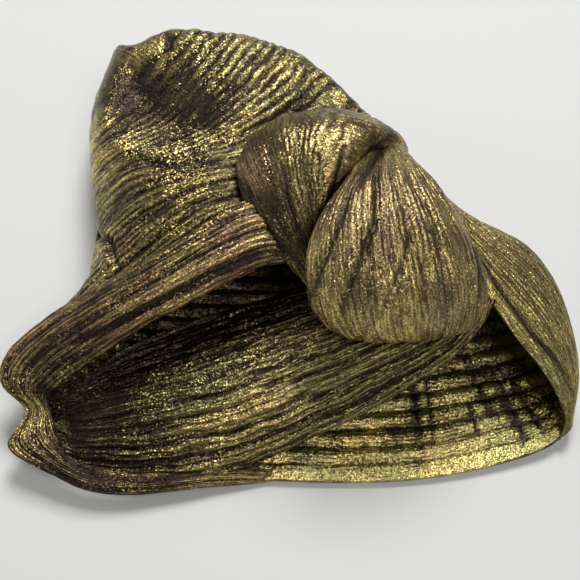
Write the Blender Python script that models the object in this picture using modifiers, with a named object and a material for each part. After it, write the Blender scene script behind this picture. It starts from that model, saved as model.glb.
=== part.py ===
"""Knotted turban cap of pleated metallic knit, lying on its back with the knot uppermost.

The table is z = 0. The cap's mouth looks towards -Y and its crown lies towards +Y.
Each cloth piece is laid through a table of sections. A section runs from one edge of the
cloth to the other and arches over a crest between them, and the pleats of the cloth run
from section to section. Positions in the tables are millimetres.
"""

import math
from collections import namedtuple

import bmesh
import bpy
from mathutils import Vector

MM = 0.001
WALL = 2.0 * MM
SEAM_GAP = 0.4 * MM

# One section of cloth: its two edges and the crest that it passes over half way.
Section = namedtuple("Section", "edge_a crest edge_b")
# One section of a gathered bundle: the same, with the depth of its hidden side.
Bundle = namedtuple("Bundle", "edge_a crest edge_b depth")
# One fold: its place and reach as shares of the sheet along and across the pleats, and
# its lift, which is negative for a dent.
Fold = namedtuple("Fold", "along across reach_along reach_across lift")

CROWN_SECTIONS = [
    Section((-126, -31, 28), (-122, -32, 17), (-112, -38, 8)),
    Section((-112, -18, 37), (-107, -12, 22), (-103, -14, 4)),
    Section((-94, -9, 46), (-97, 18, 31), (-95, 18, 3)),
    Section((-72, -1, 55), (-101, 48, 39), (-99, 48, 3)),
    Section((-56, 5, 62), (-105, 76, 45), (-103, 80, 3)),
    Section((-44, 10, 68), (-107, 98, 51), (-105, 110, 3)),
    Section((-34, 16, 71), (-107, 123, 57), (-106, 142, 3)),
    Section((-24, 24, 74), (-101, 150, 63), (-104, 163, 3)),
    Section((-19, 42, 71), (-70, 156, 69), (-77, 168, 3)),
    Section((-13, 56, 71), (-40, 150, 70), (-48, 162, 3)),
    Section((-2, 70, 67), (-15, 145, 69), (-20, 153, 3)),
    Section((14, 80, 59), (6, 134, 68), (4, 137, 3)),
    Section((31, 80, 55), (24, 118, 62), (26, 119, 3)),
    Section((46, 68, 60), (44, 97, 51), (46, 98, 3)),
    Section((53, 46, 77), (60, 75, 51), (60, 81, 3)),
    Section((64.2, 15.8, 75), (74.2, 49.8, 49), (72.2, 66.4, 3)),
]

CROWN_FOLDS = [
    Fold(0.49, 0.30, 0.11, 0.12, -26),
    Fold(0.33, 0.28, 0.08, 0.09, 5),
    Fold(0.64, 0.46, 0.12, 0.07, 2),
    Fold(0.17, 0.30, 0.05, 0.20, -5),
    Fold(0.27, 0.62, 0.05, 0.12, -4),
]

LEFT_BAND_SECTIONS = [
    Section((-4, 27, 72), (1, 10, 68), (6, -2, 56)),
    Section((-23, 22, 74), (-17, 4, 74), (-11, -5, 58)),
    Section((-47, 8, 66), (-43, -10, 68), (-38, -17, 52)),
    Section((-70, -2, 56), (-66, -19, 60), (-60, -26, 44)),
    Section((-95, -10, 46), (-91, -29, 50), (-86, -38, 34)),
    Section((-117, -20, 36), (-111, -37, 40), (-101, -48, 27)),
    Section((-137, -34, 28), (-125, -46, 31), (-111, -54, 24)),
    Section((-140, -51, 21), (-127, -54, 25), (-113, -57, 22)),
    Section((-116, -60, 19), (-114, -60, 20), (-111, -60, 19)),
    Section((-137, -77, 15), (-122, -73, 19), (-109, -67, 16)),
    Section((-114, -86, 12), (-107, -84, 17), (-101, -79, 13)),
    Section((-91, -98, 8), (-89, -93, 14), (-87, -86, 10)),
    Section((-64, -97, 6), (-63, -93, 11), (-62, -88, 8)),
    Section((-39, -92, 5), (-39, -89, 9), (-39, -84, 7)),
    Section((-21, -90, 4), (-21, -87, 7), (-22, -83, 7)),
]

UNDER_WRAP_SECTIONS = [
    Section((-106, -66, 11), (-106, -59, 17), (-107, -50, 20)),
    Section((-98, -78, 9), (-97, -55, 19), (-95, -30, 26)),
    Section((-78, -85, 8), (-77, -53, 22), (-76, -19, 34)),
    Section((-46, -87, 8), (-47, -47, 27), (-48, -4, 42)),
    Section((-21, -85, 9), (-25, -42, 31), (-29, 5, 46)),
    Section((9, -73, 13), (0, -36, 34), (-9, 5, 48)),
    Section((42, -60, 22), (26, -32, 38), (9, -2, 48)),
    Section((69, -47, 32), (51, -28, 41), (32, -8, 46)),
    Section((87, -34, 42), (72, -21, 45), (56, -8, 46)),
    Section((94, -22, 54), (81, -12, 52), (70, -2, 48)),
]

RIGHT_BAND_SECTIONS = [
    Section((65, 15, 75), (75, 49, 49), (73, 66, 3)),
    Section((79, -4, 66), (88, 34, 49), (90, 54, 3)),
    Section((91, -21, 53), (102, 23, 49), (106, 43, 3)),
    Section((107, -37, 38), (118, 15, 46), (122, 30, 3)),
    Section((119, -46, 29), (131, -3, 38), (133, 12, 3)),
    Section((127, -57, 19), (138, -26, 27), (137, -15, 3)),
    Section((131, -64, 12), (139, -46, 17), (138, -40, 3)),
    Section((128, -71, 7), (134, -66, 10), (136, -59, 4)),
]

BACK_PANEL_SECTIONS = [
    Section((-118, -58, 9), (-116, -48, 7), (-114, -38, 5)),
    Section((-104, -68, 6), (-105, -38, 3), (-108, -8, 1)),
    Section((-92, -76, 4), (-100, -8, 1), (-110, 60, 0)),
    Section((-74, -83, 2), (-92, 30, 0), (-108, 140, 0)),
    Section((-50, -86, 1), (-64, 40, 0), (-76, 169, 0)),
    Section((-24, -87, 0), (-30, 36, 0), (-36, 162, 0)),
    Section((12, -89, 0), (8, 26, 0), (6, 144, 0)),
    Section((50, -89, 0), (48, 8, 0), (46, 110, 0)),
    Section((84, -84, 0), (84, -14, 0), (84, 62, 0)),
    Section((110, -77, 1), (116, -22, 0), (120, 36, 0)),
    Section((127, -71, 3), (134, -40, 0), (138, -10, 0)),
    Section((135, -60, 5), (137, -52, 3), (139, -42, 1)),
]

RIGHT_LOOP_SECTIONS = [
    Bundle((42, 68, 68), (47, 68, 71), (51, 65, 68), 3),
    Bundle((33, 36, 86), (44, 43, 88), (53, 45, 80), 5),
    Bundle((22, 12, 92), (44, 23, 98), (63, 30, 82), 9),
    Bundle((9, -6, 90), (45, 3, 101), (73, 15, 78), 13),
    Bundle((4, -22, 80), (49, -20, 96), (82, 1, 70), 16),
    Bundle((6, -34, 68), (54, -39, 79), (91, -12, 60), 16),
    Bundle((13, -39, 57), (56, -46, 59), (92, -23, 52), 14),
    Bundle((26, -39, 50), (58, -43, 47), (88, -32, 47), 9),
    Bundle((42, -30, 47), (61, -31, 44), (80, -28, 46), 3),
]

LEFT_LOOP_SECTIONS = [
    Bundle((14, -20, 50), (29, -19, 52), (44, -18, 50), 3),
    Bundle((2, -10, 57), (10, -11, 59), (18, -8, 58), 4),
    Bundle((-13, 5, 66), (1, 1, 75), (18, 7, 74), 6),
    Bundle((-25, 25, 70), (-4, 16, 87), (24, 15, 82), 9),
    Bundle((-28, 43, 71), (-4, 33, 95), (29, 22, 88), 12),
    Bundle((-22, 60, 70), (3, 51, 97), (36, 33, 90), 14),
    Bundle((-5, 77, 66), (20, 67, 90), (46, 43, 88), 14),
    Bundle((17, 89, 58), (39, 76, 77), (56, 50, 80), 12),
    Bundle((34, 91, 46), (49, 77, 60), (60, 58, 66), 8),
]


def clear_scene():
    for obj in list(bpy.data.objects):
        bpy.data.objects.remove(obj)


def new_collection(name):
    collection = bpy.data.collections.new(name)
    bpy.context.scene.collection.children.link(collection)
    return collection


def cloth_material(name, colour, roughness):
    material = bpy.data.materials.new(name)
    material.use_nodes = True
    shader = material.node_tree.nodes["Principled BSDF"]
    shader.inputs["Base Color"].default_value = (*colour, 1.0)
    shader.inputs["Roughness"].default_value = roughness
    shader.inputs["Metallic"].default_value = 0.7
    return material


def swell_of(row):
    """From the middle of the line between the section's edges to its crest."""
    return Vector(row.crest) - Vector(row.edge_a).lerp(Vector(row.edge_b), 0.5)


def arched_points(row, swell, count, curl):
    """Points from edge_a to edge_b. With curl 1 the arch is a half ellipse, with 0 a sine."""
    a, b = Vector(row.edge_a), Vector(row.edge_b)
    points = []
    for step in range(count + 1):
        turn = math.pi * step / count
        flat, rolled = step / count, (1 - math.cos(turn)) / 2
        share = flat + (rolled - flat) * curl
        points.append((a.lerp(b, share) + swell * math.sin(turn)) * MM)
    return points


def fold_lift(folds, along, across):
    """The height that all folds together give at this share of the sheet."""
    return sum(
        fold.lift * MM * math.exp(
            -((along - fold.along) / fold.reach_along) ** 2
            - ((across - fold.across) / fold.reach_across) ** 2
        )
        for fold in folds
    )


def fold_sections(sections, folds):
    """Lifts or lowers the sections' points where the cloth is folded or dented."""
    for i, points in enumerate(sections):
        for k, point in enumerate(points):
            along, across = i / (len(sections) - 1), k / (len(points) - 1)
            point.z += fold_lift(folds, along, across)


def finish_mesh(name, mesh, material, collection):
    data = bpy.data.meshes.new(name)
    mesh.to_mesh(data)
    mesh.free()
    data.shade_smooth()
    data.materials.append(material)
    obj = bpy.data.objects.new(name, data)
    collection.objects.link(obj)
    return obj


def subdivide(obj, levels=1):
    modifier = obj.modifiers.new("round", "SUBSURF")
    modifier.levels = modifier.render_levels = levels


def cloth_sheet(name, rows, across, curl, material, collection, folds=(), offset=-1.0):
    """A walled sheet of cloth. Offset -1 keeps the sections as its outer face."""
    sections = [arched_points(row, swell_of(row), across, curl) for row in rows]
    fold_sections(sections, folds)
    mesh = bmesh.new()
    lines = [[mesh.verts.new(point) for point in points] for points in sections]
    for line, beyond in zip(lines, lines[1:]):
        for k in range(across):
            mesh.faces.new((line[k], beyond[k], beyond[k + 1], line[k + 1]))
    obj = finish_mesh(name, mesh, material, collection)
    subdivide(obj)
    wall = obj.modifiers.new("cloth wall", "SOLIDIFY")
    wall.thickness = WALL
    wall.offset = offset
    return obj


def ring_points(row, across):
    """A closed ring: the swelling side from edge_a to edge_b, then the hidden side back."""
    swell = swell_of(row)
    seen = arched_points(row, swell, across, 1.0)
    hidden = arched_points(row, swell.normalized() * -row.depth, across, 1.0)
    return seen + hidden[-2:0:-1]


def close_end(mesh, ring):
    """Closes an end of a bundle with quads between its outer and hidden sides."""
    for k in range(len(ring) // 2):
        corners = [ring[k], ring[k + 1], ring[-k - 1], ring[-k % len(ring)]]
        mesh.faces.new([v for i, v in enumerate(corners) if v not in corners[:i]])


def cloth_bundle(name, rows, across, material, collection):
    """A solid loft of gathered cloth, closed at both ends."""
    mesh = bmesh.new()
    rings = [[mesh.verts.new(point) for point in ring_points(row, across)] for row in rows]
    for ring, beyond in zip(rings, rings[1:]):
        for k in range(len(ring)):
            other = (k + 1) % len(ring)
            mesh.faces.new((ring[k], ring[other], beyond[other], beyond[k]))
    close_end(mesh, rings[0])
    close_end(mesh, rings[-1])
    bmesh.ops.recalc_face_normals(mesh, faces=mesh.faces)
    obj = finish_mesh(name, mesh, material, collection)
    subdivide(obj)
    return obj


def clearance_of(obj, cutters):
    """A cutter as large as the piece and its seam gap together."""
    cutter = obj.copy()
    cutter.name = obj.name + " clearance"
    swell = cutter.modifiers.new("seam gap", "DISPLACE")
    swell.strength = SEAM_GAP
    swell.mid_level = 0.0
    cutter.hide_render = True
    cutter.display_type = "WIRE"
    cutters.objects.link(cutter)
    return cutter


def tuck_under(obj, clearances):
    """Ends a piece where it meets the pieces that lie over it."""
    for cutter in clearances:
        trim = obj.modifiers.new("tucked under " + cutter.name, "BOOLEAN")
        trim.operation = "DIFFERENCE"
        trim.object = cutter


def main():
    clear_scene()
    parts = new_collection("knotted turban cap")
    cutters = new_collection("clearances")
    knit = cloth_material("pleated metallic knit", (0.20, 0.16, 0.06), 0.45)
    right_loop = cloth_bundle("right_loop", RIGHT_LOOP_SECTIONS, 6, knit, parts)
    left_loop = cloth_bundle("left_loop", LEFT_LOOP_SECTIONS, 6, knit, parts)
    left_band = cloth_sheet("left_band", LEFT_BAND_SECTIONS, 6, 0.7, knit, parts)
    right_band = cloth_sheet("right_band", RIGHT_BAND_SECTIONS, 8, 0.7, knit, parts)
    under_wrap = cloth_sheet("under_wrap", UNDER_WRAP_SECTIONS, 6, 0.0, knit, parts)
    crown = cloth_sheet("crown", CROWN_SECTIONS, 10, 0.7, knit, parts, CROWN_FOLDS)
    back_panel = cloth_sheet("back_panel", BACK_PANEL_SECTIONS, 10, 0.0, knit, parts, (), 1.0)

    layers = [right_loop, left_loop, left_band, under_wrap, back_panel, crown, right_band]
    above = []
    for piece in layers:
        clearance = clearance_of(piece, cutters)
        tuck_under(piece, above)
        above.append(clearance)


main()
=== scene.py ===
"""Looks of a knotted turban cap of pleated knit in gold and black metallic yarn.

The cap lies on its back on a pale table with the knot uppermost. Its mouth looks towards
-Y and its crown lies towards +Y. Tables of sections are in millimetres.
"""

import math
from collections import namedtuple
from functools import partial

import bpy
import numpy as np
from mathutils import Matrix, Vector


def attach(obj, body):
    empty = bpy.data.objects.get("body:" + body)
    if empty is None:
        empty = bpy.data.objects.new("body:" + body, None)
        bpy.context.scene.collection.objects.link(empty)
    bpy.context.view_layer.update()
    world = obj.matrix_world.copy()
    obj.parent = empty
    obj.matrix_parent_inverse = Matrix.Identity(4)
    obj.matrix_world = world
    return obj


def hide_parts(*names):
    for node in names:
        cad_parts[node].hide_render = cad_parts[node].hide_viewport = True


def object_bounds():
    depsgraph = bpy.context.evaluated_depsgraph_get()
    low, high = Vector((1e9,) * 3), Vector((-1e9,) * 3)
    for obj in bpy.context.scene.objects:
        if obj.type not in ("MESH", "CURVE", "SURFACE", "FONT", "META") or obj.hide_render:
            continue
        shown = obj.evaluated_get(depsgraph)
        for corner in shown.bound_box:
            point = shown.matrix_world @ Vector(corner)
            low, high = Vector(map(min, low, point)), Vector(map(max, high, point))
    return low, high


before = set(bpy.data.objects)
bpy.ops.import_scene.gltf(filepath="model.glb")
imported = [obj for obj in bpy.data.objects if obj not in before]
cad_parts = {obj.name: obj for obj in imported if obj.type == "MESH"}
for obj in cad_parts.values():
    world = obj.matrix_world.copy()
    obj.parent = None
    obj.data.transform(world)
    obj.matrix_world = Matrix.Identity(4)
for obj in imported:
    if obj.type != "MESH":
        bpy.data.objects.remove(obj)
cad_low, cad_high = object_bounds()

# Back panel: the inside of the cap's back. It is the only cloth that lies on the table,
# and it shows through the mouth. The knit is drawn up in rows of puckered tubes there,
# and its front edge is a doubled hem.
MM = 0.001
WALL = 2.0 * MM

# One section of cloth: its two edges and the crest that it passes over half way.
Section = namedtuple("Section", "edge_a crest edge_b")
# One crease: its line through places in the view from over the mouth, across and up, its
# width, and its lift, which is negative for a groove. All are in millimetres. A groove also
# puts painted shade into the knit's colour, and a raised line a painted highlight.
Crease = namedtuple("Crease", "line width lift")
# One fold: its place and reach as shares along and across the pleats, and its lift.
Fold = namedtuple("Fold", "along across reach_along reach_across lift")

BACK_PANEL_SECTIONS = [
    Section((-123, -58, 9), (-122, -47, 8), (-120, -36, 6)),
    Section((-104, -68, 6), (-105, -38, 3), (-108, -8, 1)),
    Section((-92, -76, 4), (-100, -8, 1), (-110, 60, 0)),
    Section((-74, -83, 2), (-92, 30, 0), (-108, 140, 0)),
    Section((-50, -86, 1), (-64, 40, 0), (-76, 169, 0)),
    Section((-24, -87, 0), (-30, 36, 0), (-36, 162, 0)),
    Section((12, -89, 0), (8, 26, 0), (6, 144, 0)),
    Section((50, -89, 0), (48, 8, 0), (46, 110, 0)),
    Section((84, -84, 0), (84, -14, 0), (84, 62, 0)),
    Section((110, -77, 1), (116, -22, 0), (120, 36, 0)),
    Section((127, -71, 3), (134, -40, 0), (138, -10, 0)),
    Section((135, -60, 5), (137, -52, 3), (139, -42, 1)),
]


def section_cage(sections, count, curl):
    """Control points, a row for each section. Curl 1 makes half ellipses, curl 0 sines."""
    turn = np.linspace(0, math.pi, count + 1)[:, None]
    flat = turn / math.pi
    rolled = (1 - np.cos(turn)) / 2
    share = flat + (rolled - flat) * curl
    cage = []
    for section in sections:
        edge_a, crest, edge_b = (np.array(point) * MM for point in section)
        swell = crest - (edge_a + edge_b) / 2
        cage.append(edge_a + (edge_b - edge_a) * share + swell * np.sin(turn))
    return np.array(cage)


def spline_weights(count, places, closed=False):
    """Weights that read a smooth curve through count control points at the given places."""
    weights = np.zeros((len(places), count))
    for step, place in enumerate(places):
        span = int(place) if closed else min(int(place), count - 2)
        t = place - span
        shares = ((1 - t) ** 3, 3 * t**3 - 6 * t**2 + 4, 3 * t + 3 * t**2 - 3 * t**3 + 1, t**3)
        for control, share in zip(range(span - 1, span + 3), shares):
            if closed:
                weights[step, control % count] += share / 6
            elif control < 0:
                weights[step, :2] += np.array((2, -1)) * share / 6
            elif control >= count:
                weights[step, -2:] += np.array((-1, 2)) * share / 6
            else:
                weights[step, control] += share / 6
    return weights


def even_places(cage, axis, samples, density=None):
    """Places along an axis of the cage, at even distances, or closer where density is high."""
    steps = np.linalg.norm(np.diff(cage, axis=axis), axis=2).mean(axis=1 - axis)
    run = np.concatenate(([0], np.cumsum(steps)))
    fine = np.linspace(0, len(run) - 1, 40 * len(run))
    length = np.interp(fine, np.arange(len(run)), run)
    if density is not None:
        share = length / length[-1]
        rate = np.interp(share, *zip(*density))
        length = np.concatenate(([0], np.cumsum(np.diff(length) * (rate[1:] + rate[:-1]) / 2)))
    return np.interp(np.linspace(0, length[-1], samples), length, fine)


def smooth_grid(cage, rows, columns, density=None):
    """A smooth grid of points over a cage of control points."""
    along = spline_weights(cage.shape[0], even_places(cage, 0, rows))
    across = spline_weights(cage.shape[1], even_places(cage, 1, columns, density))
    return np.einsum("ri,ijk,cj->rck", along, cage, across)


def run_lengths(points, axis):
    """Distances along an axis of the grid, from its first row or column, on average."""
    steps = np.linalg.norm(np.diff(points, axis=axis), axis=2).mean(axis=1 - axis)
    return np.concatenate(([0], np.cumsum(steps)))


def grid_normals(points):
    """The face side of the grid at every point."""
    normals = np.cross(np.gradient(points, axis=0), np.gradient(points, axis=1))
    return normals / np.linalg.norm(normals, axis=2, keepdims=True).clip(1e-12)


VIEW_ELEVATION = math.radians(55)
VIEW_UP = np.array((0, math.sin(VIEW_ELEVATION), math.cos(VIEW_ELEVATION)))
TO_VIEW = np.array((0, -math.cos(VIEW_ELEVATION), math.sin(VIEW_ELEVATION)))


def view_places(points):
    """Places in the view from over the mouth, across and up."""
    return np.stack((points[..., 0], points @ VIEW_UP), axis=-1)


# A crease is pressed in wholly where the cloth faces the view with at least this cosine.
FACING = 0.3
# From this lift on, in millimetres, a groove's painted shade is as dark as it gets, or a
# raised line's painted highlight as bright.
FULL_LIFT = 0.5


def creased(points, creases):
    """Presses creases into a grid where it faces the view.

    Returns the grid, and how far each point is in the grooves, which is how much painted
    shade it gets: 1 in the middle of one, -1 on a raised line, which gets a painted
    highlight instead, 0 away from both, and nearer to 0 for a lift under FULL_LIFT."""
    normals = grid_normals(points)
    places = view_places(points)
    lift, groove_shade = np.zeros(points.shape[:2]), np.zeros(points.shape[:2])
    for crease in creases:
        line = np.array(crease.line) * MM
        away, travel = np.full(points.shape[:2], np.inf), np.zeros(points.shape[:2])
        for step, (start, end) in enumerate(zip(line[:-1], line[1:])):
            run = end - start
            share = ((places - start) @ run / (run @ run)).clip(0, 1)
            distance = np.linalg.norm(places - start - share[..., None] * run, axis=-1)
            travel = np.where(distance < away, (step + share) / (len(line) - 1), travel)
            away = np.minimum(away, distance)
        press_in = np.exp(-((away / (crease.width * MM)) ** 2)) * np.sin(math.pi * travel) ** 0.5
        press_in *= (normals @ TO_VIEW).clip(0, FACING) / FACING
        lift += crease.lift * MM * press_in
        # Painted shade for grooves and painted highlight for raised lines, which the knit's colour
        # reads.
        groove_shade -= np.clip(crease.lift / FULL_LIFT, -1, 1) * press_in
    return points + normals * lift[..., None], groove_shade.clip(-1, 1)


def edge_ring(grid):
    """The border of an index grid, in the order in which its faces pass round it."""
    return np.concatenate((grid[:-1, 0], grid[-1, :-1], grid[:0:-1, -1], grid[0, :0:-1]))


def quads_of(grid):
    """The faces between the rows and columns of an index grid."""
    return np.stack((grid[:-1, :-1], grid[1:, :-1], grid[1:, 1:], grid[:-1, 1:]), axis=-1)


def set_attribute(mesh, name, values):
    """Stores numbers or vectors for the mesh's points, under a name that node trees read."""
    kind, field = ("FLOAT_VECTOR", "vector") if values.ndim == 2 else ("FLOAT", "value")
    layer = mesh.attributes.new(name, kind, "POINT")
    layer.data.foreach_set(field, values.astype(np.float32).ravel())


def cloth_object(name, points, faces, **attributes):
    """A mesh object with a value for each point under each attribute's name."""
    mesh = bpy.data.meshes.new(name)
    mesh.from_pydata(points, [], faces)
    for attribute, values in attributes.items():
        set_attribute(mesh, attribute, values)
    mesh.shade_smooth()
    cloth = bpy.data.objects.new(name, mesh)
    bpy.context.scene.collection.objects.link(cloth)
    return cloth


def even_fields(points):
    """Distances across and along the cloth, where its pleats run from section to section."""
    across = np.broadcast_to(run_lengths(points, 1), points.shape[:2])
    along = np.broadcast_to(run_lengths(points, 0)[:, None], points.shape[:2])
    return across, along


# Pleats start to split in two where they are this many doublings of the pitch wide, and
# every further doubling adds this much to the share that is split.
SPLIT_START = 0.65
SPLIT_RATE = 5


def split_of(points, phase, pitch):
    """Where the pleats spread to twice the pitch or more, 1, and where they keep it, 0."""
    down, right = np.gradient(points, axis=0), np.gradient(points, axis=1)
    count_down, count_right = np.gradient(phase, axis=0), np.gradient(phase, axis=1)
    square_down, square_right = (down**2).sum(axis=2), (right**2).sum(axis=2)
    skew = (down * right).sum(axis=2)
    slope = square_right * count_down**2 + square_down * count_right**2
    slope = slope - 2 * skew * count_down * count_right
    slope = np.sqrt(slope.clip(0) / (square_down * square_right - skew**2).clip(1e-15))
    doublings = -np.log2((slope * pitch).clip(1e-3))
    return ((doublings - SPLIT_START) * SPLIT_RATE).clip(0, 1)


# The lining keeps every so many of the face's rows and columns.
LINING_STEP = 4
# The least and the most that crowding leaves of the pleats' depth.
FADE_LIMITS = (0.25, 1.2)


def walled_cloth(name, points, pitch, fields, creases, lift=0.0, calm=1.0):
    """Cloth with a fine face, a coarse lining behind it, and a rim that joins them.

    The face lies lift above the points and the lining a wall below the face, and neither
    goes below the table. The fields are each point's distances across and along the pleats.
    Pleats are shallower where they are crowded, and calm is a share of their depth besides."""
    points, groove_shade = creased(points, creases)
    rows, columns = points.shape[:2]
    normals = grid_normals(points)
    across, along = fields
    room = np.linalg.norm(np.diff(points, axis=1), axis=2).sum(axis=1)
    fade = (room / room.mean()).clip(*FADE_LIMITS)
    layers = {
        "phase": across / pitch,
        "split": split_of(points, across / pitch, pitch),
        "fade": np.broadcast_to(fade[:, None], (rows, columns)) * calm,
        "along": along,
        "across": across,
        "groove_shade": groove_shade,
        "face_out": normals,
    }
    thin = np.s_[::LINING_STEP, ::LINING_STEP]
    face = np.arange(rows * columns).reshape(rows, columns)
    lining = points[thin].shape[:2]
    lining = face.size + np.arange(lining[0] * lining[1]).reshape(lining)
    faces = quads_of(face).reshape(-1, 4).tolist()
    faces += quads_of(lining)[..., ::-1].reshape(-1, 4).tolist()
    outer, inner = edge_ring(face), edge_ring(lining)
    outer, inner = np.append(outer, outer[0]), np.append(inner, inner[0])
    for step in range(len(inner) - 1):
        span = outer[step * LINING_STEP : (step + 1) * LINING_STEP + 1]
        faces.append([*span[::-1].tolist(), int(inner[step]), int(inner[step + 1])])
    both = np.concatenate(
        (
            (points + normals * lift).reshape(-1, 3),
            (points + normals * (lift - WALL))[thin].reshape(-1, 3),
        )
    )
    both[:, 2] = both[:, 2].clip(0)
    values = {}
    for layer, grid in layers.items():
        shape = (-1, 3) if grid.ndim == 3 else (-1,)
        behind = grid[thin] * (0 if layer == "face_out" else 1)
        values[layer] = np.concatenate((grid.reshape(shape), behind.reshape(shape)))
    return cloth_object(name, both.tolist(), faces, **values)


def add_node(tree, kind, inputs=(), **settings):
    """Adds a node, and gives its inputs values or links from other nodes' outputs."""
    node = tree.nodes.new(kind)
    for name, value in settings.items():
        setattr(node, name, value)
    for key, value in dict(inputs).items():
        if isinstance(value, bpy.types.NodeSocket):
            tree.links.new(value, node.inputs[key])
        else:
            node.inputs[key].default_value = value
    return node


def calculate(tree, operation, *values):
    """A Math node's result."""
    return add_node(tree, "ShaderNodeMath", enumerate(values), operation=operation).outputs[0]


def sum_of(tree, first, *others):
    """The sum of values, added up in the order given."""
    for other in others:
        first = calculate(tree, "ADD", first, other)
    return first


def product_of(tree, first, *others):
    """The product of values, multiplied in the order given."""
    for other in others:
        first = calculate(tree, "MULTIPLY", first, other)
    return first


def named_value(tree, name, data_type="FLOAT"):
    """A stored attribute, inside a geometry tree."""
    node = add_node(tree, "GeometryNodeInputNamedAttribute", {"Name": name}, data_type=data_type)
    return node.outputs["Attribute"]


def vector_of(tree, x, y, z):
    """A vector of three values."""
    return add_node(tree, "ShaderNodeCombineXYZ", enumerate((x, y, z))).outputs[0]


def noise_of(tree, vector, scale, detail=2.0):
    """Smooth noise from -0.5 to 0.5 over a vector."""
    settings = {"Vector": vector, "Scale": scale, "Detail": detail, "Roughness": 0.55}
    noise = add_node(tree, "ShaderNodeTexNoise", settings, noise_dimensions="3D")
    return calculate(tree, "SUBTRACT", noise.outputs[0], 0.5)


PLEAT_SIZES = (
    "Pleat depth",
    "Gather depth",
    "Gather pleats",
    "Wander",
    "Rib depth",
    "Ribs a pleat",
    "Ruck depth",
    "Ruck spacing",
    "Crinkle depth",
    "Crinkle size",
    "Seed",
)


# The mean of a row of arches is near this.
ARCH_MEAN = 0.6
# How the pleats stray from even rows: cells a metre of each noise, and its reach. The
# wander's reach is a size of the cloth's own.
WANDER_CELLS = 70.0
RIB_CELLS = 120.0
RIB_REACH = 1.5
GATHER_CELLS = 28.0
GATHER_REACH = 5.0
# Every pleat has a noise of its own along it: cells a metre, and scale, for its height,
# and scale and reach in radians for the places of its rucks.
HEIGHT_CELLS = 45.0
HEIGHT_SCALE = 1.7
HEIGHT_REACH = 1.5
HEIGHT_MEAN = 0.75
RUCK_SCALE = 9.0
RUCK_REACH = 14.0


def pleat_tree():
    """Presses pleats into a cloth: round crests and sharp valleys that wander and fade,
    broader gathers every few pleats, short rucks across the crests, and fine crinkles."""
    tree = bpy.data.node_groups.new("pressed pleats", "GeometryNodeTree")
    sockets = tree.interface
    sockets.new_socket(name="Cloth", in_out="INPUT", socket_type="NodeSocketGeometry")
    for size in PLEAT_SIZES:
        sockets.new_socket(name=size, in_out="INPUT", socket_type="NodeSocketFloat")
    sockets.new_socket(name="Knit", in_out="INPUT", socket_type="NodeSocketMaterial")
    sockets.new_socket(name="Cloth", in_out="OUTPUT", socket_type="NodeSocketGeometry")
    given = tree.nodes.new("NodeGroupInput").outputs
    total = partial(sum_of, tree)
    product = partial(product_of, tree)

    def arches(angle):
        """Round crests with sharp valleys between them, one for every half turn."""
        return calculate(tree, "ABSOLUTE", calculate(tree, "SINE", angle))

    def about_mean(wave):
        return calculate(tree, "SUBTRACT", wave, ARCH_MEAN)

    place = add_node(tree, "GeometryNodeInputPosition").outputs[0]
    shift = vector_of(tree, given["Seed"], 0.0, 0.0)
    place = add_node(tree, "ShaderNodeVectorMath", {0: place, 1: shift}).outputs[0]
    along = named_value(tree, "along")

    wander = product(noise_of(tree, place, WANDER_CELLS), given["Wander"])
    phase = total(named_value(tree, "phase"), wander)
    turn = product(phase, math.pi)
    split = named_value(tree, "split")
    crest = {"Factor": split, "A": arches(turn), "B": arches(product(turn, 2.0))}
    crest = add_node(tree, "ShaderNodeMix", crest).outputs[0]
    number = calculate(tree, "FLOOR", phase)
    own_place = vector_of(tree, number, product(along, HEIGHT_CELLS), given["Seed"])
    own_height = product(noise_of(tree, own_place, HEIGHT_SCALE), HEIGHT_REACH)
    crest = product(crest, total(own_height, HEIGHT_MEAN))

    stray = product(noise_of(tree, place, RIB_CELLS), RIB_REACH)
    stray = total(product(phase, given["Ribs a pleat"]), stray)
    rib = about_mean(arches(product(stray, math.pi)))

    broad = calculate(tree, "DIVIDE", turn, given["Gather pleats"])
    gather = arches(total(broad, product(noise_of(tree, place, GATHER_CELLS), GATHER_REACH)))

    beat = calculate(tree, "DIVIDE", product(along, 2 * math.pi), given["Ruck spacing"])
    own_place = vector_of(tree, number, given["Seed"], along)
    beat = total(beat, product(noise_of(tree, own_place, RUCK_SCALE), RUCK_REACH))
    ruck = product(calculate(tree, "SINE", beat), crest)

    crinkle_cells = calculate(tree, "DIVIDE", 1.0, given["Crinkle size"])
    crinkle = noise_of(tree, place, crinkle_cells, 3.0)

    height = total(
        product(about_mean(crest), given["Pleat depth"]),
        product(about_mean(gather), given["Gather depth"]),
        product(rib, given["Rib depth"]),
    )
    height = total(
        product(height, named_value(tree, "fade")),
        product(ruck, given["Ruck depth"]),
        product(crinkle, given["Crinkle depth"]),
    )
    lift = {0: named_value(tree, "face_out", "FLOAT_VECTOR"), "Scale": height}
    lift = add_node(tree, "ShaderNodeVectorMath", lift, operation="SCALE").outputs[0]

    # The knit's material reads where the gold shows: on crests, partly the yarn's own gold and
    # partly a painted highlight, and on raised creases as a painted highlight, but not in
    # valleys and grooves, which get painted shade.
    shine = total(
        product(crest, 0.6), product(gather, 0.4), product(rib, 0.4), product(crinkle, 0.8)
    )
    shine = calculate(tree, "SUBTRACT", shine, product(named_value(tree, "groove_shade"), 0.7))
    marked = {"Geometry": given["Cloth"], "Name": "crest", "Value": shine}
    marked = add_node(tree, "GeometryNodeStoreNamedAttribute", marked).outputs[0]
    pressed = {"Geometry": marked, "Offset": lift}
    pressed = add_node(tree, "GeometryNodeSetPosition", pressed).outputs[0]
    real = add_node(tree, "GeometryNodeRealizeInstances", {0: pressed}).outputs[0]
    dyed = {"Geometry": real, "Material": given["Knit"]}
    dyed = add_node(tree, "GeometryNodeSetMaterial", dyed).outputs[0]
    add_node(tree, "NodeGroupOutput", {0: dyed})
    return tree


PRESSED_PLEATS = pleat_tree()


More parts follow.
